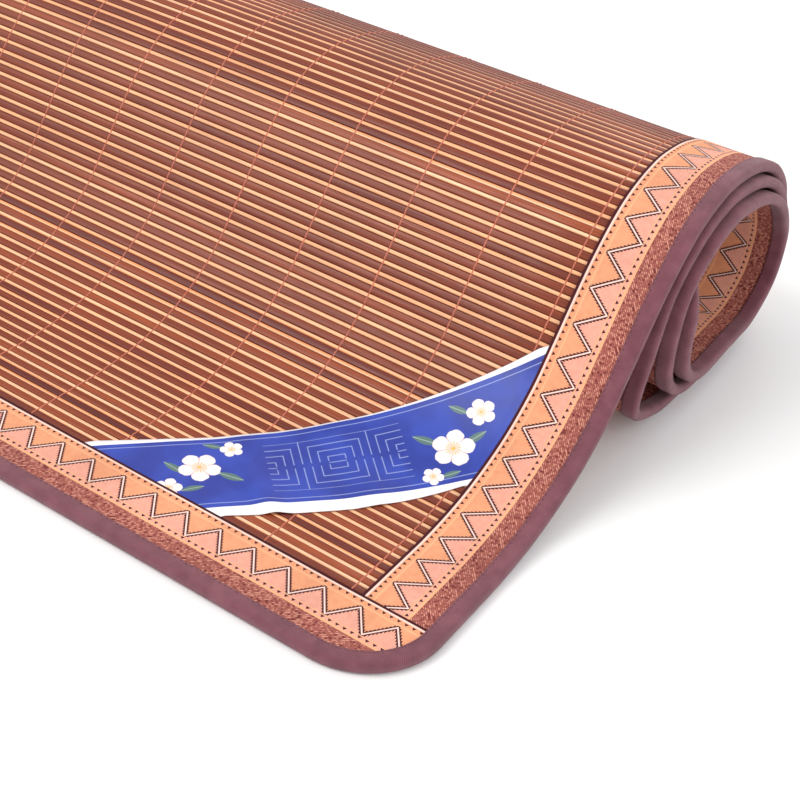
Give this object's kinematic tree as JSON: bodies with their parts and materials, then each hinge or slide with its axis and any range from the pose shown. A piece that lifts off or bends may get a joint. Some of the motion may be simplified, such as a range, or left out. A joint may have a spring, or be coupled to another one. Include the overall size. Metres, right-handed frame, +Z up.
{
  "type": "bamboo mat",
  "caption": "Partly rolled bamboo sleeping mat: slat panel with cloth borders, edge binding and a blue corner band.",
  "frame": {"origin": "middle of the footprint, on the floor that the mat lies and its roll rests on", "axes": "+X along the slats to the end with the blue band, +Y from the flat front edge to the roll, +Z up"},
  "size_m": [0.913, 0.4856, 0.1551],
  "materials": {
    "bamboo": "carbonised bamboo, satin",
    "border_cloth": "jacquard cloth, matt",
    "binding_tape": "ribbed tape, matt",
    "satin_band": "printed satin, soft sheen"
  },
  "bodies": {
    "root": {"slat_panel": "bamboo", "border_front": "border_cloth", "border_back": "border_cloth", "border_right": "border_cloth", "border_left": "border_cloth", "binding_front": "binding_tape", "binding_back": "binding_tape", "binding_right": "binding_tape", "binding_left": "binding_tape", "corner_band": "satin_band"}
  },
  "joints": []
}
